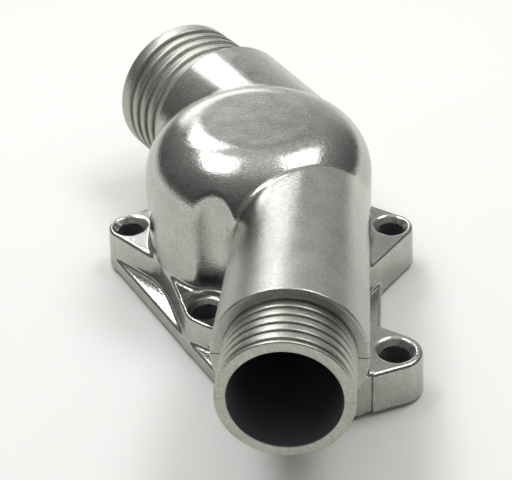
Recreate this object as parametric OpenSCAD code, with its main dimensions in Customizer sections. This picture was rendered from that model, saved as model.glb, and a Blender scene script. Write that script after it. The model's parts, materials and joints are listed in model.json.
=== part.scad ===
// Coolant thermostat housing, one aluminium casting: a domed chamber on a bolted
// flange, with a front hose neck and a larger rear hose neck.
// Origin: chamber axis at the flange sealing face. +Z up, front neck along -Y.

/* [Chamber] */
// Outside radius of the domed chamber
dome_r = 31; // [28:0.5:34]
// Height of the crown above the sealing face
dome_h = 50; // [47:0.5:56]
// Radius of the rounded shoulder of the dome
dome_shoulder = 17; // [12:0.5:18]
// Wall of the chamber
wall = 4.4; // [3.5:0.1:5]
// Radial ledge the thermostat rests against
seat_ledge = 1.65; // [1.2:0.05:2]
// Depth of the thermostat seat in the sealing face
seat_depth = 3; // [2:0.1:3.6]

/* [Flange] */
// Thickness of the flange plate
plate_t = 3.8; // [3:0.1:5]
// Rim of the plate outside the dome
plate_rim = 3; // [2:0.1:4]
// Reach of the plate's corner under the front neck, beyond the middle left hole
corner_reach = 36.5; // [32:0.5:40]
// Ledge of the plate in front of the walls under the neck
skirt_inset = 0.4; // [0.3:0.1:1]
// Overhang of the right-hand ledge beyond the neck wall
ledge = 2.7; // [2.2:0.1:3.5]

/* [Bolts] */
// Distance of the outer bolt holes from the side of the dome
hole_out = 6.9; // [6.5:0.1:8]
// Distance of the front right hole in front of the chamber axis
front_hole_reach = 49.7; // [46:0.1:54]
// How much closer to the dome the back right hole lies than the others
back_hole_in = 1.1; // [0.5:0.1:1.5]
// Distance of the back right hole behind the chamber axis
right_hole_back = 6.6; // [5:0.1:8]
// Distance of the back left hole behind the chamber axis
left_hole_back = 3.15; // [2:0.05:5]
// Spacing of the two left holes
left_pitch = 45.9; // [44:0.1:48]
// Height of the bolt bosses
boss_h = 12; // [10:0.5:14]
// Radius of the bolt holes, clearance for an M6 screw
bolt_hole_r = 3.5; // [3.2:0.05:3.6]
// Chamfer at the top of each bolt hole
bolt_chamfer = 1.3; // [0.8:0.1:1.6]
// Radius of the boss tip around a hole
boss_r = 6.7; // [6.4:0.1:7]
// Radius of the front right boss tip
front_boss_r = 7.5; // [6.8:0.1:7.8]
// Radius of the upright flute that clears the screw head in the middle left hole
flute_r = 7.9; // [7.4:0.1:8.4]
// Wall kept behind that flute
flute_wall = 3.2; // [2.6:0.1:3.6]

/* [Front neck] */
// Outside radius of the front neck at its shoulder
neck_r = 18.4; // [17.8:0.1:19]
// Draft of the neck: radius lost per millimetre towards the chamber
neck_draft = 0.018; // [0.01:0.001:0.03]
// Height of the front neck axis above the sealing face at the chamber
neck_z = 28.5; // [28:0.1:29.5]
// Upward tilt of the front neck, degrees
neck_rise = 3; // [1:0.5:4]
// Distance of the front shoulder along the neck
neck_shoulder = 78.6; // [74:0.1:84]
// Length of the front hose spigot
front_spigot_l = 16.4; // [16:0.1:18]
// Crest radius of the front hose spigot
front_spigot_r = 15.7; // [15.2:0.1:16.2]
// Radius of the front bore
front_bore_r = 13; // [12.4:0.1:13.4]
// Spacing of the grooves on the front spigot
front_pitch = 2.95; // [2.7:0.05:3.1]
// Lip at the mouth, up to the middle of the first groove
front_lip = 1.4; // [1.3:0.1:2]
// Depth of the front grooves
front_groove = 0.7; // [0.4:0.05:0.9]
// Width of the front grooves
front_groove_w = 1.1; // [0.9:0.1:1.5]

/* [Rear neck] */
// Outside radius of the rear neck at its shoulder
rear_r = 24.2; // [23.6:0.1:24.3]
// Draft of the rear neck: radius lost per millimetre towards the chamber
rear_draft = 0.06; // [0.04:0.005:0.08]
// Height of the rear neck axis above the sealing face
rear_z = 24.5; // [24.4:0.1:25.5]
// Sideways offset of the rear neck axis from the chamber axis
rear_off = 14.6; // [13:0.1:16]
// Direction of the rear neck, degrees from +X towards +Y
rear_dir = 127.5; // [124:0.5:131]
// Distance of the rounded start of the neck along its axis
rear_start = 8; // [7:0.5:10]
// Distance of the rear shoulder along the neck
rear_shoulder = 42.8; // [41:0.1:48]
// Length of the rear hose spigot
rear_spigot_l = 26; // [25:0.5:29]
// Crest radius of the rear hose spigot
rear_spigot_r = 21.4; // [20.8:0.1:21.8]
// Radius of the rear bore
rear_bore_r = 18; // [17:0.1:18.4]
// Spacing of the grooves on the rear spigot
rear_pitch = 4.65; // [4.2:0.05:4.8]
// Plain band at the rear mouth, up to the middle of the first groove
rear_band = 6.2; // [5.6:0.1:6.8]
// Depth of the rear grooves
rear_groove = 1; // [0.5:0.05:1.2]
// Width of the rear grooves
rear_groove_w = 2.5; // [2:0.1:3]

/* [Hidden] */
$fn = 96;
// Overlap of joined bodies and of cuts
lap = 0.2;
// Flat sides meet their round corners this far inside the tangent
nick = 0.05;
// Edge break on the turned spigots
edge = 0.5;
front_grooves = 5;
rear_grooves = 4;
cavity_r = dome_r - wall;
cavity_h = dome_h - wall;
seat_r = cavity_r + seat_ledge;
rim_r = dome_r + plate_rim;
// Radius of each neck where it leaves the chamber
neck_root_r = neck_r - neck_draft * neck_shoulder;
rear_root_r = rear_r - rear_draft * (rear_shoulder - rear_start);
// The front neck leaves the chamber just inside its right side wall
neck_x = dome_r - neck_root_r - 3 * lap;
// Bolt holes: right front, right back, left back, left middle
hole_rf = [dome_r + hole_out + lap, -front_hole_reach];
hole_rb = [dome_r + hole_out - back_hole_in, right_hole_back];
hole_lb = [-dome_r - hole_out, left_hole_back];
left_dir = -55;
hole_lm = hole_lb + left_pitch * [cos(left_dir), sin(left_dir)];
apex = hole_lm + corner_reach * [cos(left_dir), sin(left_dir)];
holes = [hole_rf, hole_rb, hole_lb, hole_lm];
// Length of each lug into the casting and radius of its tip
lug_lengths = [13, 27, 22, 21];
lug_radii = [front_boss_r, boss_r, boss_r, boss_r - lap];
// Front right edge of the plate: common tangent of the corner under the neck and the front boss
front_span = hole_rf - apex;
front_dir = atan2(front_span[1], front_span[0]) + asin((boss_r - front_boss_r) / norm(front_span));
front_out = [sin(front_dir), -cos(front_dir)];
left_out = [sin(left_dir), -cos(left_dir)];
// Corners of the plate where the flat edges meet the round ones
edge_lb = hole_lb + (boss_r - nick) * left_out;
edge_apex_l = apex + (boss_r - nick) * left_out;
edge_apex_r = apex + (boss_r - nick) * front_out;
// Directions in which the two sides of each lug run into the casting
lug_sides = [[front_dir + 182, 152.7], [239.2, 150], [31.25, -40.75], [111.8, -32.8]];
// Side walls under the front neck follow its draft, up to the middle of its axis
skirt_l = neck_x - neck_root_r + lap;
skirt_r = neck_x + neck_root_r - lap;
skirt_top = neck_z + neck_shoulder / 2 * sin(neck_rise);
skirt_apex_r = boss_r - skirt_inset;
skirt_apex_l = apex + (skirt_apex_r - nick) * left_out;
skirt_apex_f = apex + (skirt_apex_r - nick) * front_out;
ledge_x = neck_x + neck_r + ledge;

function polar(a) = [cos(a), sin(a)];

// Point of the line through p along angle a, at a given x
function at_x(p, a, x) = [x, p[1] + (x - p[0]) * tan(a)];

// Corner of the line through p along angle a with a wall that starts at [x, 0] and leans by k
function wall_corner(p, a, x, k) =
  let (y = (p[1] + (x - p[0]) * tan(a)) / (1 - k * tan(a)))
  [x + k * y, y];

// Rounded-shoulder solid of revolution used for the dome and its cavity
module domed(r, h, round_r) {
  cylinder(r = r, h = h - round_r);
  translate([0, 0, h - round_r - lap])
    cylinder(r = r - round_r, h = round_r + lap);
  translate([0, 0, h - round_r])
    rotate_extrude()
      translate([r - round_r, 0])
        intersection() {
          circle(r = round_r);
          square(round_r);
        }
}

// Boss with flared sides running into the casting
module lug(i) {
  c = holes[i];
  r = lug_radii[i];
  a = lug_sides[i][0];
  b = lug_sides[i][1];
  l = lug_lengths[i];
  t1 = c + (r - nick) * polar(a + 90);
  t2 = c + (r - nick) * polar(b - 90);
  translate([c[0], c[1], 0])
    cylinder(r = r, h = boss_h);
  linear_extrude(boss_h)
    polygon([t1, t1 + l * polar(a), c + l * polar((a + b) / 2), t2 + l * polar(b), t2]);
}

// Flange plate: rim round the chamber and the straight-sided front part
module plate() {
  cylinder(r = rim_r, h = plate_t);
  translate([apex[0], apex[1], 0])
    cylinder(r = boss_r, h = plate_t);
  linear_extrude(plate_t)
    polygon([
      edge_lb,
      edge_apex_l,
      edge_apex_r,
      at_x(edge_apex_r, front_dir, neck_x + neck_r),
      hole_rf,
      [ledge_x, hole_rf[1]],
      [ledge_x, 0],
      [0, 0]
    ]);
}

// Upright walls from the plate to the front neck, set in from the plate's front edges
module skirt() {
  foot = plate_t / 2;
  translate([apex[0], apex[1], foot])
    cylinder(r = skirt_apex_r, h = skirt_top - foot);
  translate([0, 0, foot])
    linear_extrude(skirt_top - foot)
      polygon([
        [skirt_l, 0],
        wall_corner(skirt_apex_l, left_dir, skirt_l, neck_draft),
        skirt_apex_l,
        skirt_apex_f,
        wall_corner(skirt_apex_f, front_dir, skirt_r, -neck_draft),
        [skirt_r, 0]
      ]);
}

// Drafted neck with a ribbed hose spigot, along +Z from its start to the mouth
module neck(root_r, r, start, shoulder, spigot_r, spigot_l, first, pitch, count, depth, groove_w) {
  end = shoulder + spigot_l;
  half_w = groove_w / 2;
  groove_r = (half_w * half_w + depth * depth) / (2 * depth);
  difference() {
    rotate_extrude()
      polygon([
        [0, start],
        [root_r, start],
        [r, shoulder - edge],
        [r - edge, shoulder],
        [spigot_r, shoulder],
        [spigot_r, end - edge],
        [spigot_r - edge, end],
        [0, end]
      ]);
    for (i = [0 : count - 1])
      translate([0, 0, end - first - i * pitch])
        rotate_extrude()
          translate([spigot_r - depth + groove_r, 0])
            circle(r = groove_r);
  }
}

// Bore of a neck with a broken edge at the mouth
module neck_bore(r, start, end) {
  translate([0, 0, start])
    cylinder(r = r, h = end - start + lap);
  translate([0, 0, end - edge])
    cylinder(r1 = r, r2 = r + edge + lap, h = edge + lap);
}

module place_front() {
  translate([neck_x, 0, neck_z])
    rotate([0, 90 - neck_rise, -90])
      children();
}

module place_rear() {
  translate([rear_off * sin(rear_dir), -rear_off * cos(rear_dir), rear_z])
    rotate([0, 90, rear_dir])
      children();
}

// Chamber cavity with the seat, keeping a wall behind the flute
module cavity() {
  translate([0, 0, -lap])
    cylinder(r = seat_r, h = seat_depth + lap);
  difference() {
    domed(cavity_r, cavity_h, dome_shoulder - wall);
    translate([hole_lm[0], hole_lm[1], boss_h - wall])
      cylinder(r = flute_r + flute_wall, h = dome_h);
  }
}

module bolt_hole() {
  translate([0, 0, -lap])
    cylinder(r = bolt_hole_r, h = boss_h + 2 * lap);
  translate([0, 0, boss_h - bolt_chamfer])
    cylinder(r1 = bolt_hole_r, r2 = bolt_hole_r + bolt_chamfer + lap, h = bolt_chamfer + lap);
}

module housing() {
  color([0.72, 0.72, 0.70])
    difference() {
      union() {
        domed(dome_r, dome_h, dome_shoulder);
        plate();
        for (i = [0 : len(holes) - 1])
          lug(i);
        skirt();
        place_front()
          neck(neck_root_r, neck_r, 0, neck_shoulder, front_spigot_r, front_spigot_l,
               front_lip, front_pitch, front_grooves, front_groove, front_groove_w);
        place_rear() {
          translate([0, 0, rear_start])
            sphere(r = rear_root_r);
          neck(rear_root_r, rear_r, rear_start, rear_shoulder, rear_spigot_r, rear_spigot_l,
               rear_band, rear_pitch, rear_grooves, rear_groove, rear_groove_w);
        }
      }
      cavity();
      place_front()
        neck_bore(front_bore_r, 0, neck_shoulder + front_spigot_l);
      place_rear()
        neck_bore(rear_bore_r, rear_start, rear_shoulder + rear_spigot_l);
      for (c = holes)
        translate([c[0], c[1], 0])
          bolt_hole();
      translate([hole_lm[0], hole_lm[1], boss_h])
        cylinder(r = flute_r, h = dome_h);
    }
}

housing();
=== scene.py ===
# %% [markdown]
# # Coolant thermostat housing
# The part is one aluminium casting: a domed chamber on a bolted flange, a front hose
# neck that stands on upright walls, and a larger hose neck at the back. The frame gives
# the exact solids. Here the same forms get the soft fillets, drafted bosses and tumbled
# finish that a casting has.

# %% Load the frame
import json
import math

import bpy
import numpy as np
import openvdb
from mathutils import Matrix, Vector

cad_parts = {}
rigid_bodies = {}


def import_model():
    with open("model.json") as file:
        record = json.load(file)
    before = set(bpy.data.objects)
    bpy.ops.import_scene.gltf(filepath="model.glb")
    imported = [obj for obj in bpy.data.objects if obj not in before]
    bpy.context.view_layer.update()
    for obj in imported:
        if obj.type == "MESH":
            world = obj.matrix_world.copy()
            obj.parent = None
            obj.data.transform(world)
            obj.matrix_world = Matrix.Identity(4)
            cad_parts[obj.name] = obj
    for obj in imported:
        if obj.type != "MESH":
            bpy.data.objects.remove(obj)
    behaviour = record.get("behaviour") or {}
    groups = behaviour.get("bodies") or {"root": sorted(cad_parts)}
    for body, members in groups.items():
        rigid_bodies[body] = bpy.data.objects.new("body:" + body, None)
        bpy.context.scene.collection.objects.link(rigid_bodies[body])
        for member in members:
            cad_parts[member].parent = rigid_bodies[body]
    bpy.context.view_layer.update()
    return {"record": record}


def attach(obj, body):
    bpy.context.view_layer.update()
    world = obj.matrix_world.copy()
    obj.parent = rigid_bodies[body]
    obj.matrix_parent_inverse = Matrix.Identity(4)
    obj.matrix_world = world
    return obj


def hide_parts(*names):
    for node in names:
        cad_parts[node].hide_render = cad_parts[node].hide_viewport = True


for leftover in list(bpy.data.objects):
    bpy.data.objects.remove(leftover)
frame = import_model()
MM = 0.001
mounts = {m["name"]: m for m in frame["record"]["mounts"]}


# %% [markdown]
# ## Sizes of the casting
# Everything is worked out in millimetres in the frame's own axes. The places of the bolt
# holes and hose spigots are read from the frame's mounts, so the looks follow the solids.

# %% Places and driving sizes
def place(name):
    """Position of a mount in millimetres."""
    return np.array(mounts[name]["pos_m"]) / MM


def radius(name):
    """Radius of a round mount in millimetres."""
    return mounts[name]["dims"]["r_mm"]


DOME_R = 31.0
DOME_H = 50.0
DOME_SHOULDER = 17.0
WALL = 4.4
PLATE_T = 3.8
RIM_R = DOME_R + 3.0
BOSS_H = 12.0
BOLT_R = radius("bolt_front_right")
BOLT_CHAMFER = 1.6
NECK_R = 18.4
NECK_DRAFT = 0.018
NECK_SHOULDER = 78.6
REAR_R = 24.2
REAR_DRAFT = 0.06
REAR_START = 8.0
REAR_SHOULDER = 42.8
FLUTE_R = 7.9
SEAT_DEPTH = mounts["thermostat_seat"]["dims"]["length_mm"]

bolt_names = ["bolt_front_right", "bolt_back_right", "bolt_back_left", "bolt_mid_left"]
bolts = [place(name)[:2] for name in bolt_names]
front_axis = np.array(mounts["front_spigot"]["axis"])
front_up = np.array([0, front_axis[2], -front_axis[1]])
front_root = place("front_spigot") - front_axis * place("front_spigot")[1] / front_axis[1]
neck_x, _, neck_z = front_root
rear_axis = np.array(mounts["rear_spigot"]["axis"])
rear_side = np.array([rear_axis[1], -rear_axis[0], 0])
rear_foot = place("rear_spigot") - rear_axis * place("rear_spigot").dot(rear_axis)
rear_z = rear_foot[2]
print("front neck starts at:", front_root.round(2), "along", front_axis.round(3))
print("rear neck axis passes:", rear_foot.round(2), "along", rear_axis.round(3))


# %% [markdown]
# ## The casting as a distance field
# A casting has no sharp inner corner: where two bodies meet, molten metal leaves a
# fillet, and its size differs from joint to joint. Bevel modifiers struggle where round
# bodies meet, so the casting is described as a signed distance: a formula that is
# negative inside the metal and positive outside. Two distances join with a fillet of a
# chosen radius, and the surface is taken out of the field as a mesh at the end.

# %% Joining distances
TINY = 1e-6


def length(*parts):
    """Length of a vector given by its parts."""
    return np.sqrt(sum(part * part for part in parts))


def join(a, b, fillet):
    """Union of two bodies with a concave fillet."""
    blend = length(np.maximum(fillet - a, 0), np.maximum(fillet - b, 0))
    return np.maximum(fillet, np.minimum(a, b)) - blend


def keep(a, b, rounding):
    """Common part of two bodies with a rounded outer edge."""
    blend = length(np.maximum(rounding + a, 0), np.maximum(rounding + b, 0))
    return np.minimum(-rounding, np.maximum(a, b)) + blend


print("a fillet of 2 mm fills its corner by", round(-join(0.0, 0.0, 2.0), 2), "mm")


# %% Outlines in the plan
def polygon(corners, x, y):
    """Signed distance to a polygon in the plan."""
    nearest = np.inf
    inside = False
    for (ax, ay), (bx, by) in zip(corners, corners[1:] + corners[:1]):
        ex, ey = bx - ax, by - ay
        along = np.clip(((x - ax) * ex + (y - ay) * ey) / (ex * ex + ey * ey), 0, 1)
        nearest = np.minimum(nearest, (x - ax - ex * along) ** 2 + (y - ay - ey * along) ** 2)
        rising = np.sign(ey) * ((x - ax) * ey - (y - ay) * ex) < 0
        inside = inside ^ (((ay > y) != (by > y)) & rising)
    return np.where(inside, -1, 1) * np.sqrt(nearest)


def heading(degrees):
    """Unit vector in the plan."""
    return np.array([math.cos(math.radians(degrees)), math.sin(math.radians(degrees))])


# %% [markdown]
# ## Flange
# A thin plate carries the part, and at each bolt a taller boss takes the force of the
# screw. The plate's outline follows the bolts: two straight sides run from the left and
# the right bolt to a corner under the front neck. All sides lean in a little, because a
# casting has to leave its mould. The plate could be extruded from a curve, but a bevel
# cannot run on into the fillets, so its outline is a distance as well.

# %% Flange outline
LEFT_DIR = -55.0
APEX_REACH = 36.5
BOSS_R = 6.7
FRONT_BOSS_R = 7.5
FRONT_INSET = 1.6
LEDGE_X = neck_x + NECK_R + 2.7

front_bolt, _, left_bolt, mid_bolt = bolts
apex = mid_bolt + APEX_REACH * heading(LEFT_DIR)
span = front_bolt - apex
lean = math.degrees(math.asin((BOSS_R - FRONT_BOSS_R) / np.hypot(*span)))
front_dir = math.degrees(math.atan2(span[1], span[0])) + lean
left_out = heading(LEFT_DIR - 90)
front_out = heading(front_dir - 90)
# The front edge is set in, because a fillet swells where two walls lie in one plane
plate_corners = [
    left_bolt + BOSS_R * left_out,
    apex + BOSS_R * left_out,
    apex + (BOSS_R - FRONT_INSET) * front_out,
    front_bolt + (FRONT_BOSS_R - FRONT_INSET) * front_out,
    front_bolt,
    np.array([LEDGE_X, front_bolt[1]]),
    np.array([LEDGE_X, 0]),
    np.array([0, 0]),
]
print("corner under the front neck:", apex.round(2), "front edge direction:", round(front_dir, 1))


# %% [markdown]
# On the left the plate's top rises towards the walls, so that it mirrors the bright
# window. A flat top would look dark there.

# %% Plate
DRAFT = 0.045
PLATE_ROUNDING = 0.9
POCKET_SLOPE = 0.14
POCKET_RIM = 0.8
POCKET_END_X = 10.0


def plate(x, y, z):
    """Flange plate with a rounded edge; on the left its top rises towards the walls."""
    edge = np.minimum(polygon(plate_corners, x, y), length(x, y) - RIM_R)
    edge = np.minimum(edge, length(x - apex[0], y - apex[1]) - BOSS_R)
    pocket = np.clip(1 - x / POCKET_END_X, 0, 1)
    top = PLATE_T + POCKET_SLOPE * np.maximum(-edge - POCKET_RIM, 0) * pocket
    return keep(edge + DRAFT * z, z - top, PLATE_ROUNDING)


print("plate:", PLATE_T, "mm thick, with edges rounded by", PLATE_ROUNDING, "mm")


# %% [markdown]
# A boss flares towards the dome. Its core is a small polygon that starts at the bolt, and
# the boss is that core grown by a radius. The front right boss stands a little proud of
# the neck's wall beside it, which shows as an upright crease.

# %% Bosses
BOSS_ROUNDING = 1.0
CREASE_REACH = 9.5
CREASE_DEPTH = 0.6
CREASE_ROUNDING = 0.25

# Each boss: tip radius at the foot, then direction and length of its two sides
boss_shapes = [
    (FRONT_BOSS_R, front_dir + 180, 13, 152.7, 13),
    (BOSS_R, 239.2, 27, 150, 27),
    (BOSS_R, 31.25, 22, -40.75, 22),
    (BOSS_R - 0.2, 111.8, 21, -32.8, 21),
]


def creased(side, x, y):
    """Side of the front right boss, set back past the crease."""
    edge = heading(front_dir)
    beyond = -CREASE_REACH - (x - front_bolt[0]) * edge[0] - (y - front_bolt[1]) * edge[1]
    return np.minimum(keep(side, beyond, CREASE_ROUNDING), side + CREASE_DEPTH)


def boss(index, x, y, z):
    """Drafted boss with flared sides and a rounded top edge."""
    foot_r, side_a, reach_a, side_b, reach_b = boss_shapes[index]
    bolt = bolts[index]
    core = [
        bolt,
        bolt + reach_a * heading(side_a),
        bolt + reach_b * heading((side_a + side_b) / 2),
        bolt + reach_b * heading(side_b),
    ]
    side = polygon(core[::-1], x, y) - foot_r + DRAFT * z
    if index == 0:
        side = creased(side, x, y)
    return keep(side, z - BOSS_H, BOSS_ROUNDING)


print("bosses:", len(boss_shapes), "of them,", BOSS_H, "mm tall")


# %% [markdown]
# ## Dome and necks
# The dome is the chamber that the coolant passes through, and the necks lead to the hoses.
# Spun profiles and a Boolean would leave sharp seams. The bodies touch along a curve that
# runs from a square meeting on one side to a tangent one on the other. A fillet of one
# size would swell where they are tangent, so its radius falls with the angle between the
# two walls. For that each body also gives the direction of its wall.

# %% Dome
def about_dome(x, y, z):
    """How far a point lies out from and above the circle that the dome is rounded about."""
    return length(x, y) - (DOME_R - DOME_SHOULDER), z - (DOME_H - DOME_SHOULDER)


def dome(x, y, z):
    """Distance to the domed chamber and the direction of its wall."""
    out, over = about_dome(x, y, z)
    past, top = np.maximum(out, 0), np.maximum(over, 0)
    distance = np.minimum(np.maximum(out, over), 0) + length(past, top) - DOME_SHOULDER
    size = np.maximum(length(past, top), TINY)
    around = np.maximum(length(x, y), TINY)
    return distance, (past / size * x / around, past / size * y / around, top / size)


print("dome:", 2 * DOME_R, "mm wide and", DOME_H, "mm tall")


# %% Necks
SKIRT_INSET = 0.35
SKIRT_ROUNDING = 1.2
SHOULDER_ROUNDING = 0.6
SKIRT_REACH = 90.0


def along_front(x, y, z):
    """Distance along the front neck, and its two sideways parts."""
    rise = z - neck_z
    return y * front_axis[1] + rise * front_axis[2], x - neck_x, y * front_up[1] + rise * front_up[2]


def along_rear(x, y, z):
    """Distance along the rear neck, and its two sideways parts."""
    side = (x - rear_foot[0]) * rear_side[0] + (y - rear_foot[1]) * rear_side[1]
    return x * rear_axis[0] + y * rear_axis[1], side, z - rear_z


def front_neck(x, y, z):
    """Drafted tube on upright walls that stand on the front part of the plate."""
    along, side, up = along_front(x, y, z)
    tube_r = NECK_R - NECK_DRAFT * (NECK_SHOULDER - along)
    above = np.maximum(up, 0)
    tunnel = length(side, above)
    core = [apex, apex - SKIRT_REACH * heading(LEFT_DIR), apex + SKIRT_REACH * heading(front_dir)]
    wedge = polygon(core, x, y) - BOSS_R + SKIRT_INSET + DRAFT * np.minimum(z, BOSS_H)
    walls = keep(tunnel - tube_r, wedge, SKIRT_ROUNDING)
    tube = keep(length(side, up) - tube_r, along - NECK_SHOULDER, SHOULDER_ROUNDING)
    size = np.maximum(tunnel, TINY)
    direction = (side / size, above / size * front_up[1], above / size * front_up[2])
    return np.maximum(np.minimum(walls, tube), y), direction


def rear_neck(x, y, z):
    """Drafted level tube towards the back, with a ball where it starts."""
    along, side, up = along_rear(x, y, z)
    tube_r = REAR_R - REAR_DRAFT * (REAR_SHOULDER - np.maximum(along, REAR_START))
    behind = np.minimum(along - REAR_START, 0)
    tube = keep(length(side, up, behind) - tube_r, along - REAR_SHOULDER, SHOULDER_ROUNDING)
    size = np.maximum(length(side, up), TINY)
    direction = (side / size * rear_side[0], side / size * rear_side[1], up / size)
    return tube, direction


print("necks:", 2 * NECK_R, "and", 2 * REAR_R, "mm wide at their shoulders")


# %% [markdown]
# ## Inside and whole casting
# The chamber follows the dome at one wall's thickness, and leaves metal round the flute
# that makes room for the middle left screw. The seat below and the bores of the necks are
# plain cylinders, as in the frame. Boolean cutters could remove them too, but as distances
# they get their rounded rims in the same step.

# %% Inner space
FLUTE_WALL = 3.2


def inside_space(x, y, z):
    """Chamber, seat and the bores of both necks."""
    out, over = about_dome(x, y, z)
    rounded = length(np.maximum(out, 0), np.maximum(over, 0)) - (DOME_SHOULDER - WALL)
    chamber = np.minimum(np.maximum(out, over), 0) + rounded
    column = length(x - mid_bolt[0], y - mid_bolt[1]) - FLUTE_R - FLUTE_WALL
    chamber = np.maximum(chamber, -np.maximum(column, BOSS_H - WALL - z))
    seat = np.maximum(length(x, y) - radius("thermostat_seat"), z - SEAT_DEPTH)
    along, side, up = along_front(x, y, z)
    front = np.maximum(length(side, up) - radius("front_bore"), -along)
    along, side, up = along_rear(x, y, z)
    rear = np.maximum(length(side, up) - radius("rear_bore"), REAR_START - along)
    return np.minimum(np.minimum(chamber, seat), np.minimum(front, rear))


print("chamber:", round(2 * (DOME_R - WALL), 2), "mm wide inside")


# %% Whole casting
NECK_FILLET = 2.8
BOSS_FILLETS = (0.4, 1.3, 1.3, 1.3)
PLATE_FILLET = 0.9
FLUTE_FOOT = 1.0
FLUTE_EDGE = 1.2
HOLE_ROUNDING = 0.45
HOLE_CLEARANCE = 1.0
INNER_ROUNDING = 0.3
FOOT_ROUNDING = 0.35


def fillet_between(a, b):
    """Fillet radius that falls to nothing where two walls are tangent."""
    return NECK_FILLET * np.clip(1 - sum(p * q for p, q in zip(a, b)), 0, 1)


def bolt_hole(bolt, x, y, z):
    """Through hole with a chamfer at the top of its boss."""
    around = length(x - bolt[0], y - bolt[1])
    cone = (around - BOLT_R - (z - BOSS_H + BOLT_CHAMFER)) * math.sqrt(0.5)
    cone = np.maximum(cone, z - BOSS_H - HOLE_CLEARANCE)
    return np.minimum(around - BOLT_R, cone)


def casting(x, y, z):
    """Signed distance to the whole casting without its spigots, in millimetres."""
    body, wall = dome(x, y, z)
    front, front_wall = front_neck(x, y, z)
    rear, rear_wall = rear_neck(x, y, z)
    body = join(body, front, fillet_between(wall, front_wall))
    body = join(body, rear, fillet_between(wall, rear_wall))
    for index in range(len(bolts)):
        body = join(body, boss(index, x, y, z), BOSS_FILLETS[index])
    body = join(body, plate(x, y, z), PLATE_FILLET)
    flute = keep(length(x - mid_bolt[0], y - mid_bolt[1]) - FLUTE_R, BOSS_H - z, FLUTE_FOOT)
    body = keep(body, -flute, FLUTE_EDGE)
    for bolt in bolts:
        body = keep(body, -bolt_hole(bolt, x, y, z), HOLE_ROUNDING)
    body = keep(body, -inside_space(x, y, z), INNER_ROUNDING)
    return keep(body, -z, FOOT_ROUNDING)


print("middle of the dome's roof lies", round(-float(casting(0.0, 0.0, DOME_H - WALL / 2)), 2), "mm deep")


# %% [markdown]
# ## From the field to a mesh
# The field is sampled on a grid and turned into quads. Each vertex is then moved along
# the field's slope until it lies on the true surface, and takes that slope as its
# normal, so a highlight runs smoothly over it. A Remesh modifier would leave the small
# steps of its voxels in the highlights.

# %% Onto the surface
LONGEST_MOVE = 0.4
SETTLE_ROUNDS = 2


def slope(field, points, step=0.02):
    """Value, gradient and size of the gradient of a distance field at points."""
    here = field(*points.T)
    steps = [field(*(points + step * axis).T) - here for axis in np.eye(3)]
    gradient = np.stack(steps, 1) / step
    size = np.maximum(np.linalg.norm(gradient, axis=1, keepdims=True), TINY)
    return here, gradient, size


def settle(field, points):
    """Moves points onto the zero surface and returns them with their normals."""
    for _ in range(SETTLE_ROUNDS):
        here, gradient, size = slope(field, points)
        move = np.clip(here[:, None] / size, -LONGEST_MOVE, LONGEST_MOVE)
        points = points - move * gradient / size
    _, gradient, size = slope(field, points)
    return points, gradient / size


# %% Field to quads
VOXEL = 0.45
MARGIN = 3 * VOXEL
LOW = np.array([-45.5, -NECK_SHOULDER - 1, 0]) - MARGIN
HIGH = np.array([47.0, 62.0, 52.0]) + MARGIN


def mesh_of(field, name):
    """Closed quad mesh of a distance field."""
    axes = [np.arange(a, b, VOXEL) for a, b in zip(LOW, HIGH)]
    samples = field(axes[0][:, None, None], axes[1][None, :, None], axes[2][None, None, :])
    grid = openvdb.FloatGrid(MARGIN)
    grid.copyFromArray(np.clip(samples, -MARGIN, MARGIN).astype(np.float32))
    points, _, quads = grid.convertToPolygons(isovalue=0.0, adaptivity=0.0)
    points = points.astype(float) * VOXEL + LOW
    points, normals = settle(field, points)
    corner = [points[quads[:, i]] for i in range(3)]
    across = np.cross(corner[1] - corner[0], corner[2] - corner[0])
    facing = np.einsum("ij,ij->i", across, normals[quads[:, 0]])
    if np.median(facing) < 0:
        quads = quads[:, ::-1]
    mesh = bpy.data.meshes.new(name)
    mesh.from_pydata((points * MM).tolist(), [], quads.tolist())
    print(name, "sampled at", samples.shape, "places")
    return mesh


# %% [markdown]
# The grid gives far more faces than the flat parts need. Decimate collapses them and
# keeps the detail where the surface curves. What is left is settled on the field again.

# %% Mesh of the casting
TRIANGLE_LIMIT = 185_000


def thin(piece, limit):
    """Collapses a piece to a triangle limit, keeping detail where it curves."""
    triangles = sum(len(p.vertices) - 2 for p in piece.data.polygons)
    reduce = piece.modifiers.new("Thin", "DECIMATE")
    reduce.ratio = min(1.0, limit / triangles)
    graph = bpy.context.evaluated_depsgraph_get()
    mesh = bpy.data.meshes.new_from_object(piece.evaluated_get(graph))
    piece.modifiers.remove(reduce)
    old, piece.data = piece.data, mesh
    bpy.data.meshes.remove(old)
    return triangles


def vertices_of(mesh):
    """Vertex places of a mesh in millimetres."""
    flat = np.zeros(len(mesh.vertices) * 3)
    mesh.vertices.foreach_get("co", flat)
    return flat.reshape(-1, 3) / MM


housing = bpy.data.objects.new("housing_casting", mesh_of(casting, "housing_casting"))
bpy.context.collection.objects.link(housing)
before = thin(housing, TRIANGLE_LIMIT)
points, normals = settle(casting, vertices_of(housing.data))
housing.data.vertices.foreach_set("co", (points * MM).ravel())
housing.data.shade_smooth()
housing.data.normals_split_custom_set_from_vertices(normals.tolist())
housing.data.update()
print("casting:", before, "triangles thinned to", len(housing.data.polygons), "faces")


# %% [markdown]
# ## Hose spigots
# Both necks end in a ribbed spigot: a plain lip at the mouth and a row of equal ribs that
# grip the hose. What repeats is made by Geometry Nodes: one rib is swept round a circle
# and instanced along the axis. A spun profile would need every groove drawn by hand. The
# same tree makes both spigots from named sizes.

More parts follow.
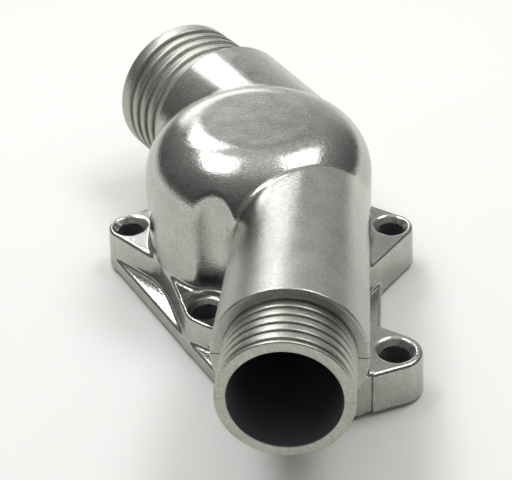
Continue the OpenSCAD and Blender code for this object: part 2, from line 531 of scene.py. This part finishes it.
# %% A small helper that adds a node
def add(tree, kind, settings=None, **links):
    """Adds a node, sets its options and its inputs; a socket as a value becomes a link."""
    node = tree.nodes.new(kind)
    for option, value in (settings or {}).items():
        setattr(node, option, value)
    for key, value in links.items():
        numbered = key[0] == "i" and key[1:].isdigit()
        socket = node.inputs[int(key[1:]) if numbered else key.replace("_", " ")]
        if isinstance(value, bpy.types.NodeSocket):
            tree.links.new(value, socket)
        else:
            socket.default_value = value
    return node


# %% [markdown]
# The tree builds a spigot upright, with its foot in the neck's shoulder. A ring is a
# rounded rectangle swept round a circle: one long ring is the wall, a short one the lip at
# the mouth, and one rib is instanced on a line of points at the rib pitch.

# %% Geometry Nodes tree of a spigot
SPIGOT_INPUTS = (
    "Wall Inside", "Wall Outside", "Wall Length", "Wall Middle",
    "Lip Inside", "Crest Radius", "Lip Length", "Lip Middle",
    "Rib Inside", "Rib Length", "First Rib", "Rib Step", "Rounding",
)
ROUND_STEPS = 160
CORNER_STEPS = 4


def spigot_tree():
    """Tree that makes a ribbed spigot along +Z, from its foot at the origin to its mouth."""
    tree = bpy.data.node_groups.new("Ribbed spigot", "GeometryNodeTree")
    sockets = tree.interface
    sockets.new_socket("Geometry", in_out="OUTPUT", socket_type="NodeSocketGeometry")
    for name in SPIGOT_INPUTS:
        sockets.new_socket(name, in_out="INPUT", socket_type="NodeSocketFloat")
    sockets.new_socket("Ribs", in_out="INPUT", socket_type="NodeSocketInt")
    sockets.new_socket("Material", in_out="INPUT", socket_type="NodeSocketMaterial")
    given = add(tree, "NodeGroupInput").outputs

    def ring(inside, outside, width):
        """Closed ring with rounded corners, centred on the origin."""
        wall = add(tree, "ShaderNodeMath", {"operation": "SUBTRACT"}, i0=outside, i1=inside)
        both = add(tree, "ShaderNodeMath", {"operation": "ADD"}, i0=outside, i1=inside)
        middle = add(tree, "ShaderNodeMath", {"operation": "MULTIPLY"}, i0=both.outputs[0], i1=0.5)
        outline = add(tree, "GeometryNodeCurvePrimitiveQuadrilateral", Width=wall.outputs[0], Height=width)
        soft = add(tree, "GeometryNodeFilletCurve", {"mode": "POLY"}, Curve=outline.outputs[0],
                   Count=CORNER_STEPS, Radius=given["Rounding"], Limit_Radius=True)
        circle = add(tree, "GeometryNodeCurvePrimitiveCircle", Resolution=ROUND_STEPS,
                     Radius=middle.outputs[0])
        swept = add(tree, "GeometryNodeCurveToMesh", Curve=circle.outputs[0], Profile_Curve=soft.outputs[0])
        return swept.outputs[0]

    def lift(geometry, height):
        """Geometry moved up along the axis."""
        where = add(tree, "ShaderNodeCombineXYZ", Z=height).outputs[0]
        return add(tree, "GeometryNodeTransform", Geometry=geometry, Translation=where).outputs[0]

    wall = lift(ring(given["Wall Inside"], given["Wall Outside"], given["Wall Length"]), given["Wall Middle"])
    lip = lift(ring(given["Lip Inside"], given["Crest Radius"], given["Lip Length"]), given["Lip Middle"])
    rib = ring(given["Rib Inside"], given["Crest Radius"], given["Rib Length"])
    start = add(tree, "ShaderNodeCombineXYZ", Z=given["First Rib"])
    step = add(tree, "ShaderNodeCombineXYZ", Z=given["Rib Step"])
    row = add(tree, "GeometryNodeMeshLine", {"mode": "OFFSET"}, Count=given["Ribs"],
              Start_Location=start.outputs[0], Offset=step.outputs[0])
    ribs = add(tree, "GeometryNodeInstanceOnPoints", Points=row.outputs[0], Instance=rib)
    whole = add(tree, "GeometryNodeJoinGeometry")
    for part in (wall, lip, ribs.outputs[0]):
        tree.links.new(part, whole.inputs[0])
    real = add(tree, "GeometryNodeRealizeInstances", Geometry=whole.outputs[0])
    done = add(tree, "GeometryNodeSetMaterial", Geometry=real.outputs[0], Material=given["Material"])
    add(tree, "NodeGroupOutput", i0=done.outputs[0])
    return tree


spigot_rule = spigot_tree()
print("spigot tree:", len(spigot_rule.nodes), "nodes")


# %% [markdown]
# ## Materials
# The housing is die-cast aluminium that was tumbled in a drum with small stones. Tumbling
# rounds the edges and leaves a bright skin with fine speckle. The dome shines most and the
# ends of the necks least, so the metal gets more satin outwards, and the rear ribs are the
# dullest. The stones never reach the insides of the tubes and bolt holes, which keep a rough
# skin, and their dark grey is painted shade of these hollows.
# A picture of worn metal would need UV maps. Noise on Object coordinates needs none, and
# has the same size on every piece.

# %% Colours and pattern sizes
def colour(code):
    """Linear colour of an sRGB hex code."""
    parts = [int(code[i:i + 2], 16) / 255 for i in (1, 3, 5)]
    return tuple(c / 12.92 if c <= 0.04045 else ((c + 0.055) / 1.055) ** 2.4 for c in parts) + (1.0,)


def pattern(cell_mm):
    """Noise scale that gives cells of a size in millimetres on Object coordinates in metres."""
    return 1 / (cell_mm * MM)


print("middle grey #808080 is", round(colour("#808080")[0], 3), "in linear light")


# %% [markdown]
# The two halves of the mould met at the height of the front neck's axis. On the end of
# the neck that leaves a thin notch on each side. It is far thinner than a face of the
# mesh, so the material paints its shade as a short dark line.

# %% Parting mark, painted as shade
MARK_HALF = 0.1
MARK_FADE = 0.25
MARK_START = 0.6
# Colour of the painted shade in the mould's notch
PAINTED_NOTCH_SHADE = "#4C4B47"


def parting_notch_shade(tree, where, depth):
    """Strength of the painted shade of the thin notch that the mould left on the end of the front neck."""
    height = add(tree, "ShaderNodeVectorMath", {"operation": "DOT_PRODUCT"}, i0=where, i1=tuple(front_up))
    offset = add(tree, "ShaderNodeMath", {"operation": "SUBTRACT"}, i0=height.outputs["Value"],
                 i1=neck_z * front_up[2] * MM)
    apart = add(tree, "ShaderNodeMath", {"operation": "ABSOLUTE"}, i0=offset.outputs[0])
    line = add(tree, "ShaderNodeMapRange", Value=apart.outputs[0], i1=MARK_HALF * MM, i2=MARK_FADE * MM,
               i3=depth, i4=0.0)
    towards = add(tree, "ShaderNodeSeparateXYZ", Vector=where).outputs["Y"]
    at_end = add(tree, "ShaderNodeMath", {"operation": "LESS_THAN"}, i0=towards,
                 i1=(MARK_START - NECK_SHOULDER) * MM)
    mark = add(tree, "ShaderNodeMath", {"operation": "MULTIPLY"}, i0=line.outputs[0], i1=at_end.outputs[0])
    return mark.outputs[0]


# %% [markdown]
# Roughness grows with the distance from the dome's axis, but the low bosses and the plate
# keep the polish of the dome. Real tumbling marks are too fine to show from this far, so
# they are drawn as cells of 0.5 mm, as coarse as they need to be.

# %% Tumbled aluminium
BLOTCH_MM = 7.0
SPECKLE_MM = 0.5
SPECKLE_DEPTH = 0.12
POLISHED_TO = 30.0
SATIN_FROM = 70.0
LOW_TO = 12.0
HIGH_FROM = 16.0
WEAR = 0.03


def tumbled_aluminium(name, near_rough, far_rough, dark, light, mark):
    """Die-cast aluminium after tumbling: the eye sees soft bright sheen with fine speckle."""
    material = bpy.data.materials.new(name)
    material.use_nodes = True
    tree = material.node_tree
    tree.nodes.clear()
    where = add(tree, "ShaderNodeTexCoord").outputs["Object"]
    blotch = add(tree, "ShaderNodeTexNoise", Vector=where, Scale=pattern(BLOTCH_MM),
                 Detail=4.0, Roughness=0.6)
    speckle = add(tree, "ShaderNodeTexNoise", Vector=where, Scale=pattern(SPECKLE_MM),
                  Detail=2.0, Roughness=0.6)
    level = add(tree, "ShaderNodeVectorMath", {"operation": "MULTIPLY"}, i0=where, i1=(1.0, 1.0, 0.0))
    out_from_axis = add(tree, "ShaderNodeVectorMath", {"operation": "LENGTH"}, i0=level.outputs[0])
    outwards = add(tree, "ShaderNodeMapRange", Value=out_from_axis.outputs["Value"],
                   i1=POLISHED_TO * MM, i2=SATIN_FROM * MM, i3=near_rough, i4=far_rough)
    height = add(tree, "ShaderNodeSeparateXYZ", Vector=where).outputs["Z"]
    raised = add(tree, "ShaderNodeMapRange", Value=height, i1=LOW_TO * MM, i2=HIGH_FROM * MM)
    satin = add(tree, "ShaderNodeMix", i0=raised.outputs[0], i2=near_rough, i3=outwards.outputs[0])
    worn = add(tree, "ShaderNodeMapRange", Value=blotch.outputs["Fac"], i1=0.3, i2=0.7, i3=-WEAR, i4=WEAR)
    shine = add(tree, "ShaderNodeMath", {"operation": "ADD"}, i0=satin.outputs[0], i1=worn.outputs[0])
    mixed = add(tree, "ShaderNodeMix", i0=0.35, i2=speckle.outputs["Fac"], i3=blotch.outputs["Fac"])
    spread = add(tree, "ShaderNodeMapRange", Value=mixed.outputs[0], i1=0.32, i2=0.66)
    metal = add(tree, "ShaderNodeMix", {"data_type": "RGBA"}, i0=spread.outputs[0],
                i6=colour(dark), i7=colour(light))
    # The mould's notch on the neck's end is painted as a dark line of shade
    tone_and_notch_shade = add(tree, "ShaderNodeMix", {"data_type": "RGBA"}, i0=parting_notch_shade(tree, where, mark),
               i6=metal.outputs[2], i7=colour(PAINTED_NOTCH_SHADE))
    grain = add(tree, "ShaderNodeBump", Strength=0.4, Distance=SPECKLE_DEPTH * MM,
                Height=speckle.outputs["Fac"])
    skin = add(tree, "ShaderNodeBsdfPrincipled", Base_Color=tone_and_notch_shade.outputs[2], Metallic=1.0,
               Roughness=shine.outputs[0], Normal=grain.outputs[0])
    add(tree, "ShaderNodeOutputMaterial", Surface=skin.outputs[0])
    return material


# %% As-cast aluminium inside the tubes, with painted shade
GRIT_MM = 0.8
GRIT_DEPTH = 0.1


def cast_skin_with_painted_shade():
    """Unworked casting skin, dull and rough; its dark grey is painted shade of the bores and holes."""
    material = bpy.data.materials.new("As-cast skin with painted shade")
    material.use_nodes = True
    tree = material.node_tree
    tree.nodes.clear()
    where = add(tree, "ShaderNodeTexCoord").outputs["Object"]
    grit = add(tree, "ShaderNodeTexNoise", Vector=where, Scale=pattern(GRIT_MM), Detail=3.0)
    bump = add(tree, "ShaderNodeBump", Strength=0.4, Distance=GRIT_DEPTH * MM, Height=grit.outputs["Fac"])
    # Dark grey with little metal: painted shade of the bores and holes
    skin = add(tree, "ShaderNodeBsdfPrincipled", Base_Color=colour("#6C6E75"), Metallic=0.3,
               Roughness=0.65, Normal=bump.outputs[0])
    add(tree, "ShaderNodeOutputMaterial", Surface=skin.outputs[0])
    return material


# mark sets how dark the painted shade of the mould's notch is
bright = tumbled_aluminium("Tumbled die-cast aluminium", near_rough=0.17, far_rough=0.36,
                           dark="#A2A5A5", light="#CACBC6", mark=0.8)
ribbed = tumbled_aluminium("Satin aluminium of the spigots", near_rough=0.55, far_rough=0.36,
                           dark="#A0A29D", light="#C8C9C1", mark=0.3)
dull = cast_skin_with_painted_shade()
print("materials:", bright.name, "and", ribbed.name, "and", dull.name)


# %% [markdown]
# Two finishes share one mesh, because two meshes would show a seam at the rims. A face
# takes the dull skin with its painted shade when its middle lies on the wall of the inner
# space or down a bolt hole. The stones still polish the top of each hole, where no shade is painted.

# %% Finish of each face
# Depth below a hole's chamfer where its painted shade begins
SHADE_BELOW_CHAMFER = 0.9
ON_THE_WALL = 0.06


def untumbled_and_shaded(x, y, z):
    """Inner space and bolt holes, which the stones do not reach and which take painted shade."""
    inner = inside_space(x, y, z)
    for bx, by in bolts:
        below = z - BOSS_H + BOLT_CHAMFER + SHADE_BELOW_CHAMFER
        inner = np.minimum(inner, np.maximum(length(x - bx, y - by) - BOLT_R, below))
    return inner


def paint_inside(mesh, outside):
    """Gives the dull skin with its painted shade to the faces whose middle lies where tumbling does not
    reach.
    """
    mesh.materials.clear()
    mesh.materials.append(outside)
    mesh.materials.append(dull)
    flat = np.zeros(len(mesh.polygons) * 3)
    mesh.polygons.foreach_get("center", flat)
    middle = flat.reshape(-1, 3) / MM
    mesh.polygons.foreach_set("material_index", (untumbled_and_shaded(*middle.T) < ON_THE_WALL).astype(np.int32))


paint_inside(housing.data, bright)
print("dull faces inside:", sum(p.material_index for p in housing.data.polygons))


# %% [markdown]
# ## Both spigots in place
# Each spigot's sizes are worked out from a few that can be measured on the part. Its wall
# is sunk into the neck, and its inside stands a hair proud of the casting's bore, because
# two walls in one place would flicker.

# %% Sizes of a spigot
EMBED = 1.0
PROUD = 0.05
LIP_PROUD = 0.02
RIB_ROOT = 0.5


def spigot_sizes(crest, bore, reach, lip, lip_gap, pitch, rib, groove, rounding):
    """Inputs of the spigot tree in millimetres."""
    root = crest - groove
    wall = reach - lip / 2 + EMBED
    return {
        "Wall Inside": bore - PROUD,
        "Wall Outside": root,
        "Wall Length": wall,
        "Wall Middle": wall / 2 - EMBED,
        "Lip Inside": bore - PROUD - LIP_PROUD,
        "Crest Radius": crest,
        "Lip Length": lip,
        "Lip Middle": reach - lip / 2,
        "Rib Inside": root - RIB_ROOT,
        "Rib Length": rib,
        "First Rib": reach - lip - lip_gap - rib / 2,
        "Rib Step": -pitch,
        "Rounding": rounding,
    }


front_sizes = spigot_sizes(radius("front_spigot"), radius("front_bore"), reach=16.38, lip=1.0,
                           lip_gap=0.85, pitch=2.95, rib=2.2, groove=0.7, rounding=0.35)
rear_sizes = spigot_sizes(radius("rear_spigot"), radius("rear_bore"), reach=26.0, lip=5.0,
                          lip_gap=2.4, pitch=4.65, rib=2.25, groove=1.0, rounding=0.8)
wall_lengths = [round(sizes["Wall Length"], 2) for sizes in (front_sizes, rear_sizes)]
print("walls of the front and rear spigot:", wall_lengths, "mm long")


# %% Both spigots
FRONT_RIBS = 5
REAR_RIBS = 4


def spigot(name, sizes, ribs, placing):
    """Plain mesh piece from the spigot tree, moved to its place."""
    piece = bpy.data.objects.new(name, bpy.data.meshes.new(name))
    bpy.context.collection.objects.link(piece)
    grow = piece.modifiers.new("Spigot", "NODES")
    grow.node_group = spigot_rule
    values = {key: size * MM for key, size in sizes.items()}
    values["Ribs"] = ribs
    values["Material"] = ribbed
    for item in spigot_rule.interface.items_tree:
        if item.in_out == "INPUT":
            grow[item.identifier] = values[item.name]
    graph = bpy.context.evaluated_depsgraph_get()
    mesh = bpy.data.meshes.new_from_object(piece.evaluated_get(graph))
    piece.modifiers.remove(grow)
    mesh.transform(placing)
    mesh.name = name
    piece.data = mesh
    mesh.shade_smooth()
    paint_inside(mesh, ribbed)
    print(name, "vertices:", len(mesh.vertices))
    return piece


def placed(foot, axis):
    """Matrix that turns +Z to an axis and moves the origin to a foot point in millimetres."""
    turn = Vector((0, 0, 1)).rotation_difference(Vector(axis)).to_matrix().to_4x4()
    return Matrix.Translation(Vector(foot) * MM) @ turn


front_placing = placed(front_root + front_axis * NECK_SHOULDER, front_axis)
rear_placing = placed(rear_foot + rear_axis * REAR_SHOULDER, rear_axis)
front_spigot = spigot("front_spigot", front_sizes, FRONT_RIBS, front_placing)
rear_spigot = spigot("rear_spigot", rear_sizes, REAR_RIBS, rear_placing)

# %% [markdown]
# ## Into the frame
# The three pieces are one cast part, so all of them ride on the fixed body and together
# replace its CAD solid.

# %% Ride and replace
for piece in (housing, front_spigot, rear_spigot):
    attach(piece, "root")
    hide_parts("housing")
    print(piece.name, "rides on root")

# %% [markdown]
# ## Camera and studio
# The photo was taken from above and in front with a long lens, so the camera stands well
# back and a little to the right. Bright metal shows its room more than its own colour, so
# the lamps stand where the dome and necks of the photo mirror them: two soft boxes high
# on the left and right, a tilted window at the back, and a low panel behind the part. A
# picture of a room could light it too, but lamps can be moved one by one.

# %% Camera
LENS = 96.76
SENSOR = 36.0
NEAREST = 0.01

eye = Vector((31.424, -320.97, 232.371)) * MM
right = Vector((0.99619, 0.08285, -0.0273))
up = Vector((-0.02463, 0.56735, 0.82311))
forward = Vector((-0.08368, 0.8193, -0.56723))
lens = bpy.data.cameras.new("Camera")
lens.lens = LENS
lens.sensor_width = SENSOR
lens.clip_start = NEAREST
camera = bpy.data.objects.new("Camera", lens)
bpy.context.collection.objects.link(camera)
camera.matrix_world = Matrix.Translation(eye) @ Matrix((right, up, -forward)).transposed().to_4x4()
bpy.context.scene.camera = camera
print("camera stands", round(eye.length, 3), "m from the origin")


# %% Soft boxes
BOX_DISTANCE = 1.2


def soft_box(name, azimuth, elevation, wide, tall, power, roll=0.0):
    """Area light in a direction seen from the part; azimuth runs from the back to the right."""
    turn, tilt = math.radians(azimuth), math.radians(elevation)
    level = math.cos(tilt)
    spot = Vector((math.sin(turn) * level, math.cos(turn) * level, math.sin(tilt))) * BOX_DISTANCE
    lamp = bpy.data.lights.new(name, "AREA")
    lamp.shape = "RECTANGLE"
    lamp.size, lamp.size_y = wide, tall
    lamp.energy = power
    box = bpy.data.objects.new(name, lamp)
    bpy.context.collection.objects.link(box)
    box.location = spot
    facing = (-spot).to_track_quat("-Z", "Y").to_matrix()
    box.rotation_euler = (facing @ Matrix.Rotation(math.radians(roll), 3, "Z")).to_euler()
    print(name, "at", azimuth, "and", elevation, "degrees")


soft_box("Left box", -73, 65, wide=0.56, tall=0.34, power=3.7)
soft_box("Right box", 62, 63, wide=0.52, tall=0.36, power=3.6)
soft_box("Window", -28, 43, wide=0.42, tall=0.17, power=2.2, roll=24)
soft_box("Back panel", -17, 19, wide=0.52, tall=0.3, power=0.85)


# %% [markdown]
# The room between the lamps is grey: dark towards the front, lighter overhead and bright
# behind the part. The camera itself sees only the plain backdrop.

# %% Room
BACKGROUND = "#FAFBF6"
OVERHEAD = (0.0, 0.29, 0.957)
WALL_SHADES = ((0.0, "#565655"), (0.3, "#6C6C6B"), (0.5, "#7E7E7D"), (0.75, "#9C9C98"), (0.95, "#E0E0DA"))
BACKWARDS = (0.0, 1.0, 0.0)
BACK_WALL = "#E1E1DC"
BACK_WALL_FROM = 0.77
BACK_WALL_FULL = 1.02


def room():
    """Dim room for reflections: grey walls, a lighter ceiling and a bright wall at the back."""
    world = bpy.data.worlds.new("Room")
    world.use_nodes = True
    tree = world.node_tree
    tree.nodes.clear()
    ray = add(tree, "ShaderNodeLightPath").outputs
    where = add(tree, "ShaderNodeTexCoord").outputs["Generated"]
    height = add(tree, "ShaderNodeVectorMath", {"operation": "DOT_PRODUCT"}, i0=where, i1=OVERHEAD)
    walls = add(tree, "ShaderNodeValToRGB", Fac=height.outputs["Value"])
    marks = walls.color_ramp.elements
    while len(marks) < len(WALL_SHADES):
        marks.new(0.5)
    for mark, (at, shade) in zip(marks, WALL_SHADES):
        mark.position = at
        mark.color = colour(shade)
    behind = add(tree, "ShaderNodeVectorMath", {"operation": "DOT_PRODUCT"}, i0=where, i1=BACKWARDS)
    back = add(tree, "ShaderNodeMapRange", {"interpolation_type": "SMOOTHSTEP"},
               Value=behind.outputs["Value"], i1=BACK_WALL_FROM, i2=BACK_WALL_FULL)
    mixed = add(tree, "ShaderNodeMix", {"data_type": "RGBA"}, i0=back.outputs[0],
                i6=walls.outputs[0], i7=colour(BACK_WALL))
    seen = add(tree, "ShaderNodeMix", {"data_type": "RGBA"}, i0=ray["Is Camera Ray"],
               i6=mixed.outputs[2], i7=colour(BACKGROUND))
    glow = add(tree, "ShaderNodeBackground", Color=seen.outputs[2], Strength=1.0)
    add(tree, "ShaderNodeOutputWorld", Surface=glow.outputs[0])
    bpy.context.scene.world = world


room()
print("room walls:", len(WALL_SHADES), "shades of grey")


# %% [markdown]
# The part lies on white paper. Near the part the paper keeps the shadow, and farther out
# it fades to the plain backdrop, for the camera and for what the metal mirrors.

# %% Floor
PAPER = "#F1F0E9"
PAPER_SEEN = "#FFFFFF"
SHADOW_REACH = 0.13, 0.26
FLOOR_SIDE, FLOOR_NEAR, FLOOR_FAR = 1.6, -0.38, 1.4
FLOOR_DROP = 0.001


def paper():
    """White paper that keeps the part's shadow and fades to the backdrop away from the part."""
    material = bpy.data.materials.new("White paper")
    material.use_nodes = True
    tree = material.node_tree
    tree.nodes.clear()
    ray = add(tree, "ShaderNodeLightPath").outputs
    shade = add(tree, "ShaderNodeMix", {"data_type": "RGBA"}, i0=ray["Is Camera Ray"],
                i6=colour(PAPER), i7=colour(PAPER_SEEN))
    matt = add(tree, "ShaderNodeBsdfDiffuse", Color=shade.outputs[2])
    white = add(tree, "ShaderNodeEmission", Color=colour(BACKGROUND))
    where = add(tree, "ShaderNodeTexCoord").outputs["Object"]
    away = add(tree, "ShaderNodeVectorMath", {"operation": "LENGTH"}, i0=where)
    fade = add(tree, "ShaderNodeMapRange", {"interpolation_type": "SMOOTHSTEP"}, Value=away.outputs["Value"],
               i1=SHADOW_REACH[0], i2=SHADOW_REACH[1])
    mirrored = add(tree, "ShaderNodeMath", {"operation": "MAXIMUM"}, i0=ray["Is Glossy Ray"],
                   i1=ray["Is Transmission Ray"])
    shown = add(tree, "ShaderNodeMath", {"operation": "MAXIMUM"}, i0=ray["Is Camera Ray"],
                i1=mirrored.outputs[0])
    part = add(tree, "ShaderNodeMath", {"operation": "MULTIPLY"}, i0=shown.outputs[0], i1=fade.outputs[0])
    seen = add(tree, "ShaderNodeMixShader", Fac=part.outputs[0], i1=matt.outputs[0], i2=white.outputs[0])
    add(tree, "ShaderNodeOutputMaterial", Surface=seen.outputs[0])
    return material


sheet = bpy.data.meshes.new("floor")
sheet_corners = [
    (-FLOOR_SIDE, FLOOR_NEAR, 0),
    (FLOOR_SIDE, FLOOR_NEAR, 0),
    (FLOOR_SIDE, FLOOR_FAR, 0),
    (-FLOOR_SIDE, FLOOR_FAR, 0),
]
sheet.from_pydata(sheet_corners, [], [(0, 1, 2, 3)])
sheet.materials.append(paper())
floor = bpy.data.objects.new("floor", sheet)
bpy.context.collection.objects.link(floor)
floor.location.z = -FLOOR_DROP
bpy.context.scene.view_settings.view_transform = "Standard"
print("floor:", 2 * FLOOR_SIDE, "by", round(FLOOR_FAR - FLOOR_NEAR, 2), "m")
